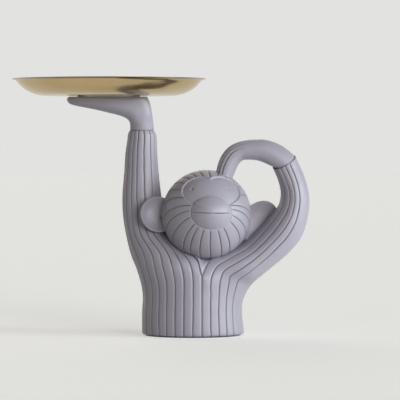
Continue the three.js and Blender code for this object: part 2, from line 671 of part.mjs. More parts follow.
// Tray: a pressed sheet with a flat floor, a round corner and a flared rim
function trayGeometry() {
  const floor = TRAY_FLOOR_DIAMETER / 2;
  const arcSteps = 5;
  const side = (offset) => {
    const points = [new THREE.Vector2(0, offset)];
    for (let i = 0; i <= arcSteps; i += 1) {
      const turn = (TRAY_CORNER_ANGLE * i) / arcSteps;
      const radius = TRAY_CORNER_RADIUS - offset;
      const height = TRAY_CORNER_RADIUS - radius * Math.cos(turn);
      points.push(new THREE.Vector2(floor + radius * Math.sin(turn), height));
    }
    const rim = points.at(-1).y + TRAY_RIM_RISE;
    points.push(new THREE.Vector2(TRAY_DIAMETER / 2, rim));
    return points;
  };
  return new THREE.LatheGeometry([...side(0), ...side(TRAY_SHEET).reverse()], 48).rotateX(Math.PI / 2);
}

// Pads
function ovalPad(length, width, thickness) {
  const outline = new THREE.Shape();
  outline.absellipse(0, 0, length / 2, width / 2, 0, 2 * Math.PI);
  return new THREE.ExtrudeGeometry(outline, { depth: thickness, bevelEnabled: false, curveSegments: 24 });
}

function roundEndedPad(length, width, thickness) {
  const straight = (length - width) / 2;
  const outline = new THREE.Shape();
  outline.absarc(straight, 0, width / 2, -Math.PI / 2, Math.PI / 2);
  outline.absarc(-straight, 0, width / 2, Math.PI / 2, (3 * Math.PI) / 2);
  return new THREE.ExtrudeGeometry(outline, { depth: thickness, bevelEnabled: false, curveSegments: 12 });
}

// Assembly
const figurine = new THREE.Group();
const toHead = headGroup.matrix.clone().invert();

const neckPin = new THREE.Vector3(0, NECK_PIN_BACK, -HEAD_RADII.z);
const neckHole = uprightCylinder(NECK_PIN_DIAMETER + 2 * FIT_GAP, NECK_PIN_LENGTH + 2 * PIN_END_GAP);
neckHole.translate(neckPin.x, neckPin.y, neckPin.z);

const body = toSolid(bodyGeometry())
  .subtract(toSolid(headGlobe(FIT_GAP).applyMatrix4(headGroup.matrix)))
  .subtract(toSolid(neckHole.clone().applyMatrix4(headGroup.matrix)))
  .subtract(trayWristPin.hole)
  .subtract(rightWristPin.hole);
figurine.add(makeMesh('body', toGeometry(body), resin));

const base = ovalPad(BASE_WIDTH - 2 * FELT_INSET, BASE_DEPTH - 2 * FELT_INSET, FELT_THICKNESS);
figurine.add(makeMesh('base_pad', base, felt));

let head = toSolid(headGeometry()).subtract(toSolid(neckHole)).subtract(toSolid(mouthCut()));
head = head.subtract(toSolid(eyeCut(-1, LEFT_EYE_DEPTH))).subtract(toSolid(eyeCut(1, RIGHT_EYE_DEPTH)));
for (const ear of ears) head = head.subtract(toSolid(earTenon(ear, FIT_GAP)));
headGroup.add(makeMesh('head', toGeometry(head), resin));

const bodyRoundEars = toSolid(bodyGeometry(FIT_GAP).applyMatrix4(toHead));
for (const ear of ears) {
  headGroup.add(makeMesh(ear.name, toGeometry(earSolid(ear, bodyRoundEars)), resin));
}

const neckDowel = makeMesh('neck_dowel', uprightCylinder(NECK_PIN_DIAMETER, NECK_PIN_LENGTH), steel);
neckDowel.position.copy(neckPin);
headGroup.add(neckDowel);
figurine.add(headGroup);

const abovePalm = new THREE.BoxGeometry(2 * TRAY_DIAMETER, TRAY_DIAMETER, TRAY_DIAMETER);
abovePalm.translate(PALM_CENTRE.x, PALM_CENTRE.y, PALM_TOP + TRAY_DIAMETER / 2);
const magnetPocket = uprightCylinder(MAGNET_DIAMETER + 2 * FIT_GAP, 2 * (MAGNET_HEIGHT + FIT_GAP));
magnetPocket.translate(PALM_CENTRE.x, PALM_CENTRE.y, PALM_TOP);
const trayHand = toSolid(handGeometry(trayHandRibs, TRAY_FINGER_SIDES))
  .subtract(toSolid(abovePalm))
  .subtract(toSolid(magnetPocket))
  .subtract(trayWristPin.hole);
figurine.add(makeMesh('tray_hand', toGeometry(trayHand), resin));

const rightHand = toSolid(handGeometry(rightHandRibs, RIGHT_FINGER_SIDES))
  .subtract(toSolid(headGlobe(FIT_GAP).applyMatrix4(headGroup.matrix)))
  .subtract(rightWristPin.hole);
figurine.add(makeMesh('right_hand', toGeometry(rightHand), resin));

const pins = [
  ['tray_wrist_dowel', trayWristPin.group],
  ['right_wrist_dowel', rightWristPin.group],
];
for (const [name, group] of pins) {
  group.add(makeMesh(name, uprightCylinder(WRIST_PIN_DIAMETER, WRIST_PIN_LENGTH), steel));
  figurine.add(group);
}

const magnet = makeMesh('palm_magnet', uprightCylinder(MAGNET_DIAMETER, MAGNET_HEIGHT), steel);
magnet.position.set(PALM_CENTRE.x, PALM_CENTRE.y, PALM_TOP - MAGNET_HEIGHT / 2);
figurine.add(magnet);

const pad = makeMesh('palm_pad', roundEndedPad(PAD_LENGTH, PAD_WIDTH, PAD_THICKNESS), foam);
pad.position.set(PALM_CENTRE.x, PALM_CENTRE.y, PALM_TOP);
figurine.add(pad);

const tray = makeMesh('tray', toGeometry(toSolid(trayGeometry())), gold);
tray.position.set(PALM_CENTRE.x, PALM_CENTRE.y, PALM_TOP + PAD_THICKNESS);
figurine.add(tray);

export default figurine;
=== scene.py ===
import math
from bisect import bisect_left
from collections import namedtuple
from functools import lru_cache

import bmesh
import bpy
from mathutils import Matrix, Vector, noise


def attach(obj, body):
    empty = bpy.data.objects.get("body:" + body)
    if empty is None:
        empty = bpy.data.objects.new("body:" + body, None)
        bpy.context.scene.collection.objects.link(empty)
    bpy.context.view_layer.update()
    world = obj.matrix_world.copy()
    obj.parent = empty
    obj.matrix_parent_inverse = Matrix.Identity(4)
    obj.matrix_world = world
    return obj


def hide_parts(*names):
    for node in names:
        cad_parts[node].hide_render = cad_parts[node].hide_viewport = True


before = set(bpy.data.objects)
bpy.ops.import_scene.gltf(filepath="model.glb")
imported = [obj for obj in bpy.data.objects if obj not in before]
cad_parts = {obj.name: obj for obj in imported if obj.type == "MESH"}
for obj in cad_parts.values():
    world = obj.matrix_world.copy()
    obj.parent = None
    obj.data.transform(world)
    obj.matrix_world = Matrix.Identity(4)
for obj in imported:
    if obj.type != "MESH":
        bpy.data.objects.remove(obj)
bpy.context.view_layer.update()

# A monkey figurine that holds up a round tray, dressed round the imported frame.
# Sizes are millimetres, and each piece is scaled to metres when it is finished.
# Left and right are the viewer's, and the front looks along -Y.
MM = 0.001
MERGE = 0.002  # points closer than this are one point

# Trunk
FELT_THICKNESS = 1
FELT_INSET = 2.5
BASE_WIDTH = 78.6
BASE_DEPTH = 63
BASE_ROUND = 1.5
SPLIT_HEIGHT = 47.2  # where the trunk parts into the arms, at the fork lines
SADDLE_RISE = 14
CREST_SQUARENESS = 6  # 2 is a round arch between the front and the back fork line, more is a boxy one
SADDLE_SQUARENESS = 3
CREST_EASE = 2.4  # draws the columns of an arch together at its feet
SHOULDER_BEND = 1.1
FORK_OFFSET = 6.8  # how far right of the middle the fork lines stand
CORNER_LINES = 0.8  # the skin bends sharply at the split only this close to a fork line
CORNER_SHARE = 0.1  # and on the bridge this close, as a share of its width
OVAL_STEPS = 120
BRIDGE_STEPS = 30
BRIDGE_SAMPLES = 40
BRIDGE_EDGE = 0.12  # most of the bridge's width that one column of a line may take

# Carved lines: the columns of a line stand at these distances from its middle, sunk by these shares and
# darkened by these shares of painted shade
LINE_CUT = (0, 0.16, 0.34, 0.65)
LINE_SINK = (1, 0.85, 0.22, -0.07)
LINE_SHADE = (1, 0.9, 0.3, 0)
LINE_DEPTH = 0.7
LINE_WANDER = 0.3  # how far a hand-cut line strays to the side
LINE_UNEVEN = 0.25  # how much deeper or fainter it gets on its way
WANDER_NOISE = (7.3, 1.7)  # steps through the noise from line to line, and from span to span
UNEVEN_NOISE = (3.1, 0.9)
UNEVEN_SEED = 9.5
LINE_MOST = 0.4  # most of a strip that half a line may take
LEAST_PITCH = 0.5
STRIP_CROWN = 0.12  # how far the strip between two lines swells
STRIP_STEPS = 4

# Head
HEAD_CENTRE = Vector((10.3, -12, 93.2))
HEAD_RADII = Vector((34.2, 33.5, 34.3))
HEAD_TURN = math.radians(6.7)
HEAD_TILT = math.radians(4.6)  # the face looks up
HEAD_LEAN = math.radians(1.5)  # and the head leans to the right
HEAD_GAP = 0.08  # glue line round the head
MUZZLE_HALF_WIDTH = 14.9
MUZZLE_HALF_HEIGHT = 11.95
MUZZLE_BULGE = 4
MUZZLE_STEP = 0.9
MUZZLE_LOW_STEP = 0.5  # under the mask the edge of the muzzle is lower and rounder
MUZZLE_LOW_SLOPE = 0.75
MASK_DEPTH = 0.8
MASK_LEAST = 1.2  # the mask's edge keeps this far from the muzzle
MASK_SHIFT = 1.3  # the mask stands this far to the right of the muzzle
CREASE_DEPTH = 0.25  # what is left of the mask's step under the chin
CARVED_WALL = 0.4
MOUTH_WIDTH = 29.4
MOUTH_HALF_OPENING = 0.55
MOUTH_DEPTH = 0.9
MOUTH_DIP = 0.7
MOUTH_END = 0.08  # share of the mouth that tapers off at each end
MOUTH_SHADE = 0.8
HAIR_SWEEP = math.radians(31)  # how far the hair is combed round the head on both sides
HAIR_DRIFT = math.radians(8)  # how far it drifts to the right under the chin
HAIR_END = math.radians(150)
HAIR_DEPTH = 0.65
HAIR_FADE = 0.12  # share of a hair line that runs out at the nape
HAIR_LEAST_REACH = 12
EYE_DISTANCE = 23.5
EYE_TURN = math.radians(142.4)
EYE_RADIUS = 1.4
EYE_DEPTHS = {-1: 0.9, 1: 0.25}  # depth of each eye dimple and strength of its painted shade; the right one is shallow and faint

# Ears
EAR_RADIUS = 13.4
EAR_RIM = 4.6
EAR_DROOP = math.radians(37)  # a long ear runs down to the head
EAR_HOLE_PLACE = Vector((3, -2.1))  # from the middle of the ear towards the head, and up
EAR_HOLE_RADIUS = 1.3
EAR_HOLE_DEPTH = 0.5

# Hands
CUFF_HEIGHT = 157.5
CUFF_ROUND = 3
CUFF_WALL = 0.5
CUFF_SINK = 1
PALM_TOP = 183.8
PALM_TRIM = 1
PALM_CENTRE = Vector((-65, 4, PALM_TOP))
FINGER_LINE_DEPTH = 1.3
FINGER_LINE_HALF_WIDTH = 0.8
HAND_SIDES = 128
HAND_STEPS = 7

# Palm pad and tray
PAD_LENGTH = 48
PAD_WIDTH = 21
PAD_THICKNESS = 0.9
PAD_SOFTNESS = 0.25  # rounding of a pad's edges
SHARP = 1  # edges with a larger angle than this, in radians, are a pad's rims
TRAY_DIAMETER = 150
TRAY_FLOOR_DIAMETER = 98
TRAY_CORNER_RADIUS = 27.5
TRAY_CORNER_ANGLE = math.radians(55)
TRAY_RIM_RISE = 1
TRAY_SHEET = 0.8
TRAY_LIP = 0.35  # how far the edge of the sheet is rounded
TRAY_FLOOR_STEPS, TRAY_CORNER_STEPS, TRAY_RIM_STEPS = 8, 14, 5
TRAY_TURNS = 144
TRAY_REFLECTION_BAND = (3.4, 2.2)  # painted dark reflection on the rim, between these distances from its edge


# Curves and ribs

def signed_power(value, power):
    return math.copysign(abs(value) ** power, value)


def eased(value):
    """0 to 1 with soft ends."""
    value = min(max(value, 0), 1)
    return value * value * (3 - 2 * value)


def on_curve(control, first, last, place):
    """A point on the smooth curve from control(first) to control(last), its place counted in spans."""
    span = min(max(math.floor(place), first), last - 1)
    part = place - span
    p1, p2 = control(span), control(span + 1)
    p0 = control(span - 1) if span > first else 2 * p1 - p2
    p3 = control(span + 2) if span + 2 <= last else 2 * p2 - p1
    d0, d1, d2 = (max((b - a).length, 1e-6) ** 0.5 for a, b in ((p0, p1), (p1, p2), (p2, p3)))
    lead = ((p1 - p0) / d0 - (p2 - p0) / (d0 + d1) + (p2 - p1) / d1) * d1
    trail = ((p2 - p1) / d1 - (p3 - p1) / (d1 + d2) + (p3 - p2) / d2) * d1
    bend = 3 * (p2 - p1) - 2 * lead - trail
    twist = 2 * (p1 - p2) + lead + trail
    return p1 + part * (lead + part * (bend + part * twist))


def places(start, steps):
    """Places along a curve, with a count of steps for each span."""
    found = [start + span + step / count for span, count in enumerate(steps) for step in range(count)]
    return [*found, start + len(steps)]


def lengths_along(points):
    """The length of a line of points up to each of them."""
    lengths = [0.0]
    for a, b in zip(points, points[1:]):
        lengths.append(lengths[-1] + (b - a).length)
    return lengths


def step_at(lengths, wanted):
    """Which step of a line holds a length: the index of the step's end, and how much of it is passed."""
    after = min(max(bisect_left(lengths, wanted), 1), len(lengths) - 1)
    return after, (wanted - lengths[after - 1]) / (lengths[after] - lengths[after - 1])


# A rib is the cross-section of a limb: an oval between an inner and an outer point of the front view.
# square is how boxy its inner and its outer half are, fingers how deep the lines between fingers are,
# fork the angle of its fork line, crest the top of its arch, lean how far its front leans to the
# right and up, and bunch how far its lines draw together towards the front.
Rib = namedtuple(
    "Rib", "inner outer depth y square fingers fork crest lean bunch",
    defaults=((2, 2), 0, None, None, (0, 0), 0),
)


def rib_point(rib, angle):
    power = 2 / rib.square[0 if math.cos(angle) > 0 else 1]
    across = signed_power(math.cos(angle), power)
    forward = signed_power(math.sin(angle), power)
    (x0, z0), (x1, z1) = rib.inner, rib.outer
    return Vector((
        (x0 + x1 + across * (x0 - x1)) / 2 + forward * rib.lean[0],
        rib.y - forward * rib.depth,
        (z0 + z1 + across * (z0 - z1)) / 2 + forward * rib.lean[1],
    ))


LEFT_ARM = (
    Rib((25.4, 61.5), (-43.6, 51.4), 30, 0, fork=68, crest=(3.6, 61.6), bunch=0.033),
    Rib((0, 68.8), (-47.8, 61.5), 26, 3, fork=45, crest=(-5, 68), bunch=0.08),
    Rib((-16.8, 81), (-52.2, 79), 19.5, 7, fork=24),
    Rib((-22.5, 95), (-54.5, 95), 15.5, 9),
    Rib((-24.9, 110), (-54.6, 110), 14.5, 9),
    Rib((-26.6, 126), (-53.2, 126), 13.3, 8),
    Rib((-27.6, 140), (-52.3, 140), 12.4, 6.5),
    Rib((-28.1, CUFF_HEIGHT - 2 * CUFF_ROUND), (-50.6, CUFF_HEIGHT - 2 * CUFF_ROUND), 11.3, 5.2),
    Rib((-28.4, CUFF_HEIGHT - CUFF_ROUND), (-50.3, CUFF_HEIGHT - CUFF_ROUND), 11, 5),
    Rib((-29.8, CUFF_HEIGHT), (-49.2, CUFF_HEIGHT), 9.7, 4.8),
)
INNER_FLAT = (1.6, 2)
INNER_EASED = (1.8, 2)
RIGHT_ARM = (
    Rib((-0.5, 67.6), (44.8, 38.6), 27, 0, (2, 1.75), fork=63, crest=(12.4, 61.2), lean=(0, -2.5),
        bunch=0.03),
    Rib((21.4, 66.9), (48.9, 42.7), 25, -1.5, fork=40, crest=(23.8, 64.6)),
    Rib((38.2, 73.2), (58.9, 51.1), 21.3, -4.5, INNER_EASED, fork=28),
    Rib((51.2, 83.8), (73.2, 63.5), 17.5, -8.5, INNER_FLAT, fork=17),
    Rib((61, 94.4), (83.2, 76.1), 14.8, -11.5, INNER_FLAT),
    Rib((65.8, 101.5), (88.1, 91.8), 12.8, -12.5, INNER_FLAT),
    Rib((67.2, 110), (89, 107.3), 11.4, -13, INNER_FLAT),
    Rib((65.6, 118.4), (85.7, 121.5), 10.5, -13, INNER_EASED),
    Rib((62.9, 125.3), (81.6, 131), 10, -13, lean=(0.9, -1.7)),
    Rib((61.2, 128.9), (78.4, 138.1), 9.7, -13, lean=(1.4, -2.7)),
)
# The lines of a side are counted from the front fork line round to the back one. Plain ones are not cut.
Arm = namedtuple("Arm", "side lines plain bunch ribs steps")
left_arm = Arm(-1, 18, range(0), 0.09, LEFT_ARM, (9, 8, 7, 6, 6, 6, 5, 5, 4, 5))
right_arm = Arm(1, 14, range(5, 10), 0, RIGHT_ARM, (9, 8, 7, 6, 5, 5, 5, 5, 4, 5))

# Trunk rings: height, left and right edge, and how far the ring drops towards each of them
Ring = namedtuple("Ring", "z left right drop_left drop_right", defaults=(0, 0))
TRUNK = (
    Ring(FELT_THICKNESS + BASE_ROUND, -BASE_WIDTH / 2, BASE_WIDTH / 2),
    Ring(18, -39.3, 37.8),
    Ring(34, -38.7, 38.2, 4, 9),
    Ring(SPLIT_HEIGHT, -40, 41.3, 8, 14),
)
SPLIT = len(TRUNK) - 1
TRUNK_STEPS = (8, 8, 9)
FOOT_ROWS = 5


# Body: the trunk and both arms as one branching form

@lru_cache(maxsize=None)
def ring_oval(ring, side, sink):
    """The oval of a trunk ring from the front fork line to the back one, with its length so far."""
    middle = (ring.left + ring.right) / 2
    half_width = (ring.right - ring.left) / 2 - sink
    half_depth = BASE_DEPTH / 2 - sink
    fork = math.asin((FORK_OFFSET - middle) / half_width)
    turns = [fork + (side * math.pi - 2 * fork) * step / OVAL_STEPS for step in range(OVAL_STEPS + 1)]
    points = [Vector((middle + half_width * math.sin(t), -half_depth * math.cos(t))) for t in turns]
    return points, lengths_along(points)


def trunk_point(ring, side, share, sink=0):
    points, lengths = ring_oval(ring, side, sink)
    after, part = step_at(lengths, lengths[-1] * share)
    x, y = points[after - 1].lerp(points[after], part)
    edge, drop = (ring.left, ring.drop_left) if x < FORK_OFFSET else (ring.right, ring.drop_right)
    outward = max(0, (x - FORK_OFFSET) / (edge - FORK_OFFSET))
    return Vector((x, y, ring.z - drop * outward ** SHOULDER_BEND))


def fork_angle(arm, rib):
    return math.radians(rib.fork) if rib.fork else math.pi / (arm.lines + 1)


def arm_point(arm, rib, line):
    fork = fork_angle(arm, rib)
    share = 2 * min(line, arm.lines - line) / arm.lines
    bunched = 0 if rib.fork or share > 0.5 else arm.bunch * math.sin(2 * math.pi * share)
    bunched += rib.bunch * math.sin(math.pi * share)
    angle = fork + (math.pi - fork) * (share - bunched)
    return rib_point(rib, angle if 2 * line < arm.lines else -angle)


def side_point(arm, line, place):
    """A point on the trunk and arm, at a place between two lines and a height counted in spans."""
    def control(k):
        if k <= SPLIT:
            return trunk_point(TRUNK[k], arm.side, line / arm.lines)
        return arm_point(arm, arm.ribs[k - SPLIT - 1], line)

    last = SPLIT + len(arm.ribs)
    point = on_curve(control, 0, last, place)
    cornered = max(0, 1 - min(line, arm.lines - line) / CORNER_LINES) ** 2
    if cornered:
        bounds = (0, SPLIT) if place <= SPLIT else (SPLIT, last)
        point = point.lerp(on_curve(control, *bounds, place), cornered)
    return point


def arch_point(front, back, crest, share, squareness=CREST_SQUARENESS):
    """A point on the arch from the front fork line over the crest to the back one."""
    middle, reach = (front + back) / 2, (front - back) / 2
    rise = Vector((crest[0], middle.y, crest[1])) - middle
    turn = math.pi * share
    across = signed_power(math.cos(turn), 2 / squareness)
    return middle + reach * across + rise * max(0, math.sin(turn)) ** (2 / squareness)


def bridge_control(k, share):
    """Controls of the bridge: 0 is the saddle, more the right arm's ribs, less the left arm's."""
    on_crest = share**CREST_EASE / (share**CREST_EASE + (1 - share) ** CREST_EASE)
    if k == 0:
        front, back = (trunk_point(TRUNK[SPLIT], 1, end) for end in (0, 1))
        crest = (FORK_OFFSET, SPLIT_HEIGHT + SADDLE_RISE)
        return arch_point(front, back, crest, on_crest, SADDLE_SQUARENESS)
    arm = right_arm if k > 0 else left_arm
    rib = arm.ribs[abs(k) - 1]
    fork = fork_angle(arm, rib)
    if rib.crest is None:
        return rib_point(rib, fork * (1 - 2 * share))
    return arch_point(rib_point(rib, fork), rib_point(rib, -fork), rib.crest, on_crest)


def bridge_point(arm, place, share):
    """A point between the fork lines, at a share of the way from the front one to the back one."""
    if share in (0, 1):
        return side_point(arm, arm.lines * share, place)

    def control(k):
        return bridge_control(k, share)

    height = arm.side * (place - SPLIT)
    whole = (-len(left_arm.ribs), len(right_arm.ribs))
    point = on_curve(control, *whole, height)
    cornered = max(0, 1 - min(share, 1 - share) / CORNER_SHARE) ** 2
    if cornered:
        own = (0, whole[1]) if arm.side > 0 else (whole[0], 0)
        point = point.lerp(on_curve(control, *own, height), cornered)
    return point


def lay_grid(bm, columns, rows, place):
    """Lays a grid over a form: place(column, row) gives a point, how deep it is carved and how much
    painted shade its colour takes.
    """
    carved = bm.verts.layers.float.get("carved") or bm.verts.layers.float.new("carved")
    groove = bm.verts.layers.float.get("groove") or bm.verts.layers.float.new("groove")
    laid = bmesh.ops.create_grid(bm, x_segments=columns, y_segments=rows, size=0.5)["verts"]
    for vert in laid:
        column, row = round((vert.co.x + 0.5) * columns), round((vert.co.y + 0.5) * rows)
        vert.co, vert[carved], vert[groove] = place(column, row)


def face_outwards(bm):
    bm.normal_update()
    bmesh.ops.recalc_face_normals(bm, faces=bm.faces)


def carve(bm):
    """Sinks every point into the form by what is written on it."""
    carved = bm.verts.layers.float["carved"]
    bm.normal_update()
    moves = [(vert, vert.normal * -vert[carved]) for vert in bm.verts]
    for vert, move in moves:
        vert.co += move


def slots_to_next(steps):
    """How many columns go from one line to the next, with a count of steps on the strip between."""
    return 2 * (len(LINE_CUT) - 1) + steps


def line_slot(slot, steps):
    """Which column a slot is: of the line before it, of the line after it, or a share of the strip."""
    cuts, slots = len(LINE_CUT), slots_to_next(steps)
    if slot < cuts:
        return "after", slot
    if slot > slots - cuts:
        return "before", slots - slot
    return "strip", (slot - cuts + 1) / steps


def slot_depth(kind, value, depth):
    """How deep a slot is carved, and how much painted shade it takes."""
    if kind == "strip":
        return -STRIP_CROWN * math.sin(math.pi * value), 0
    return depth * LINE_SINK[value], LINE_SHADE[value]


def slot_share(kind, value, pitch):
    """How far a slot stands from its line, as a share of the way to the next line."""
    def off(cut):
        return min(LINE_CUT[cut] / pitch, LINE_MOST * LINE_CUT[cut] / LINE_CUT[-1])

    edge = off(-1)
    if kind == "strip":
        return edge + (1 - 2 * edge) * value
    return off(value) if kind == "after" else 1 - off(value)


def line_noise(line, place, steps, seed):
    return noise.noise((line * steps[0], place * steps[1], seed))


def wander(arm, line, place):
    """How far a line strays to the side. The fork lines run true."""
    if line in (0, arm.lines):
        return 0
    return LINE_WANDER * line_noise(line, place, WANDER_NOISE, arm.side)


def lay_side(bm, arm):
    """The carved skin of one half of the trunk and its arm."""
    slots = slots_to_next(STRIP_STEPS)
    rows = [None] * FOOT_ROWS + places(0, TRUNK_STEPS) + places(SPLIT, arm.steps)[1:]

    @lru_cache(maxsize=None)
    def pitch(line, place):
        return max(LEAST_PITCH, (side_point(arm, line, place) - side_point(arm, line + 1, place)).length)

    def place_on(column, row):
        line, slot = divmod(column, slots)
        place = rows[row] or 0
        kind, value = line_slot(slot, STRIP_STEPS)
        gap = pitch(min(line, arm.lines - 1), place)
        share = slot_share(kind, value, gap)
        shifts = [wander(arm, at, place) / gap for at in (line, line + 1)]
        at = line + share + shifts[0] + (shifts[1] - shifts[0]) * share
        at = min(max(at, 0), arm.lines)
        if rows[row] is None:
            turn = math.pi / 2 * row / FOOT_ROWS
            foot = TRUNK[0]._replace(z=FELT_THICKNESS + BASE_ROUND * (1 - math.cos(turn)))
            point = trunk_point(foot, arm.side, at / arm.lines, BASE_ROUND * (1 - math.sin(turn)))
        else:
            point = side_point(arm, at, place)
        nearest = line + (kind == "before")
        if kind != "strip" and nearest in arm.plain:
            return point, 0, 0
        uneven = 1 + LINE_UNEVEN * line_noise(nearest, place, UNEVEN_NOISE, UNEVEN_SEED)
        depth, shade = slot_depth(kind, value, LINE_DEPTH * uneven)
        if kind == "strip" and (line in arm.plain or line + 1 in arm.plain):
            depth = 0
        return point, depth, shade

    lay_grid(bm, arm.lines * slots, len(rows) - 1, place_on)


def lay_bridge(bm):
    """The smooth saddle under the head, from the cuff of one arm to the cuff of the other."""
    cuts = len(LINE_CUT)
    columns = slots_to_next(BRIDGE_STEPS)
    rows = [(left_arm, place) for place in reversed(places(SPLIT, left_arm.steps))]
    rows += [(right_arm, place) for place in places(SPLIT, right_arm.steps)[1:]]
    shares = [step / BRIDGE_SAMPLES for step in range(BRIDGE_SAMPLES + 1)]
    lengths = [
        lengths_along([bridge_point(arm, place, share) for share in shares]) for arm, place in rows
    ]

    def place_on(column, row):
        arm, place = rows[row]
        from_edge = min(column, columns - column)
        width = lengths[row][-1]
        if from_edge < cuts:
            reach = min(LINE_CUT[from_edge], width * BRIDGE_EDGE * from_edge)
            kind, value = "after", from_edge
        else:
            edge = min(LINE_CUT[-1], width * BRIDGE_EDGE * (cuts - 1))
            reach = edge + (width / 2 - edge) * (from_edge - cuts + 1) / (BRIDGE_STEPS / 2)
            kind, value = "strip", 0
        after, part = step_at(lengths[row], reach if 2 * column <= columns else width - reach)
        share = shares[after - 1] + (shares[after] - shares[after - 1]) * part
        share = 0 if column == 0 else 1 if column == columns else share
        return bridge_point(arm, place, share), *slot_depth(kind, value, LINE_DEPTH)

    lay_grid(bm, columns, len(rows) - 1, place_on)


head_place = (
    Matrix.Translation(HEAD_CENTRE) @ Matrix.Rotation(HEAD_TURN, 4, "Z")
    @ Matrix.Rotation(-HEAD_TILT, 4, "X") @ Matrix.Rotation(HEAD_LEAN, 4, "Y")
)


def seat_on_head(bm):
    """Moves what would be inside the head out to the glue line round it."""
    to_head = head_place.inverted()
    for vert in bm.verts:
        local = to_head @ vert.co
        reach = Vector([a / (radius + HEAD_GAP) for a, radius in zip(local, HEAD_RADII)]).length
        if 0 < reach < 1:
            vert.co = head_place @ (local / reach)


def close_ends(bm):
    """Caps every open end."""
    ends = [edge for edge in bm.edges if edge.is_boundary]
    caps = bmesh.ops.holes_fill(bm, edges=ends, sides=0)["faces"]
    for face in caps:
        for edge in face.edges:
            edge.smooth = False
    return caps


def sink_cuffs(bm, caps):
    """Lets the end of each sleeve in round the hand that stands in it, with painted shade on the sunk
    floor.
    """
    groove = bm.verts.layers.float["groove"]
    cuffs = [face for face in caps if face.calc_center_median().z > SPLIT_HEIGHT]
    bmesh.ops.inset_individual(
        bm, faces=cuffs, thickness=CUFF_WALL, depth=-CUFF_SINK, use_even_offset=True
    )
    # painted shade on the sunk floor of each cuff
    for face in cuffs:
        for vert in face.verts:
            vert[groove] = 1


def mesh_of(bm, name, material):
    mesh = bpy.data.meshes.new(name)
    bm.to_mesh(mesh)
    bm.free()
    mesh.materials.append(material)
    return mesh


def put_in_scene(name, data):
    thing = bpy.data.objects.new(name, data)
    bpy.context.scene.collection.objects.link(thing)
    return thing


def finish_piece(bm, name, material, body, slot, *nodes):
    """Turns a shape in millimetres into a piece in metres that stands for its CAD nodes."""
    bmesh.ops.scale(bm, vec=(MM, MM, MM), verts=bm.verts)
    for face in bm.faces:
        face.smooth = True
    piece = put_in_scene(name, mesh_of(bm, name, material))
    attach(piece, body)
    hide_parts(*nodes)
    return piece


def make_body(material):
    bm = bmesh.new()
    for arm in (left_arm, right_arm):
        lay_side(bm, arm)
    lay_bridge(bm)
    bmesh.ops.remove_doubles(bm, verts=bm.verts, dist=MERGE)
    caps = close_ends(bm)
    face_outwards(bm)
    carve(bm)
    sink_cuffs(bm, caps)
    seat_on_head(bm)
    return finish_piece(bm, "carved_body", material, "figure", "resin", "body")


# Hands: tubes through ribs

def lay_tube(bm, ribs, finger_angles):
    """A tube through ribs, with lines sunk between the fingers and painted shade in them, and painted
    shade where it stands in its cuff.
    """
    rows = places(0, [HAND_STEPS] * (len(ribs) - 1))

    def place_on(column, row):
        angle = 2 * math.pi * column / HAND_SIDES
        point = on_curve(lambda k: rib_point(ribs[k], angle), 0, len(ribs) - 1, rows[row])
        low = min(int(rows[row]), len(ribs) - 2)
        fingers = ribs[low].fingers + (ribs[low + 1].fingers - ribs[low].fingers) * (rows[row] - low)
        off = min(abs(angle - math.radians(at)) for at in finger_angles) * ribs[low].depth
        shade = fingers * (1 - eased(off / FINGER_LINE_HALF_WIDTH))
        # painted shade: the finger lines, and the rows that stand in the cuff
        return point, FINGER_LINE_DEPTH * shade, max(shade, rows[row] <= 1)

    lay_grid(bm, HAND_SIDES, len(rows) - 1, place_on)
    bmesh.ops.remove_doubles(bm, verts=bm.verts, dist=MERGE)
    close_ends(bm)
    face_outwards(bm)
    carve(bm)


# Where the lines between the fingers run, in degrees round a rib
TRAY_FINGER_LINES = (150, 180, 210)
RIGHT_FINGER_LINES = (104, 129, 154)
PALM_SKIN = PALM_TOP + PALM_TRIM
TRAY_HAND = (
    Rib((-30.5, CUFF_HEIGHT - CUFF_SINK), (-48.5, CUFF_HEIGHT - CUFF_SINK), 9, 4.8),
    Rib((-30.3, CUFF_HEIGHT + 0.6), (-48.7, CUFF_HEIGHT + 0.6), 9.2, 4.8),
    Rib((-30.6, CUFF_HEIGHT + 6.1), (-48.6, CUFF_HEIGHT + 4.1), 9.9, 4.6),
    Rib((-31.6, CUFF_HEIGHT + 13.5), (-49, CUFF_HEIGHT + 6.7), 10.4, 4.4, (3.2, 2.4)),
    Rib((-33.2, PALM_TOP - 4.8), (-50.6, PALM_TOP - 17.4), 11, 4.2, (3.5, 2.4)),
    Rib((-36.6, PALM_SKIN), (-53, PALM_TOP - 15.9), 11.8, 4.1, (3.8, 2.4)),
    Rib((-46, PALM_SKIN), (-57, PALM_TOP - 14.4), 12.6, 4, (4, 2.4)),
    Rib((-60, PALM_SKIN), (-65, PALM_TOP - 12.4), 13, 4, (4.2, 2.4)),
    Rib((-72, PALM_SKIN), (-75, PALM_TOP - 10), 12.6, 4, (4.2, 2.4), 0.5),
    Rib((-83, PALM_SKIN), (-84, PALM_TOP - 8.2), 11.4, 4, (4, 2.4), 1),
    Rib((-90.6, PALM_SKIN), (-91, PALM_TOP - 6.8), 9.4, 4, (3.6, 2.4), 1),
    Rib((-95.2, PALM_SKIN - 0.6), (-95.4, PALM_TOP - 5.2), 6.4, 4, (3.2, 2.4), 0.6),
    Rib((-97.2, PALM_SKIN - 2.4), (-97.2, PALM_TOP - 3.2), 2.6, 4, (3, 2.4)),
)
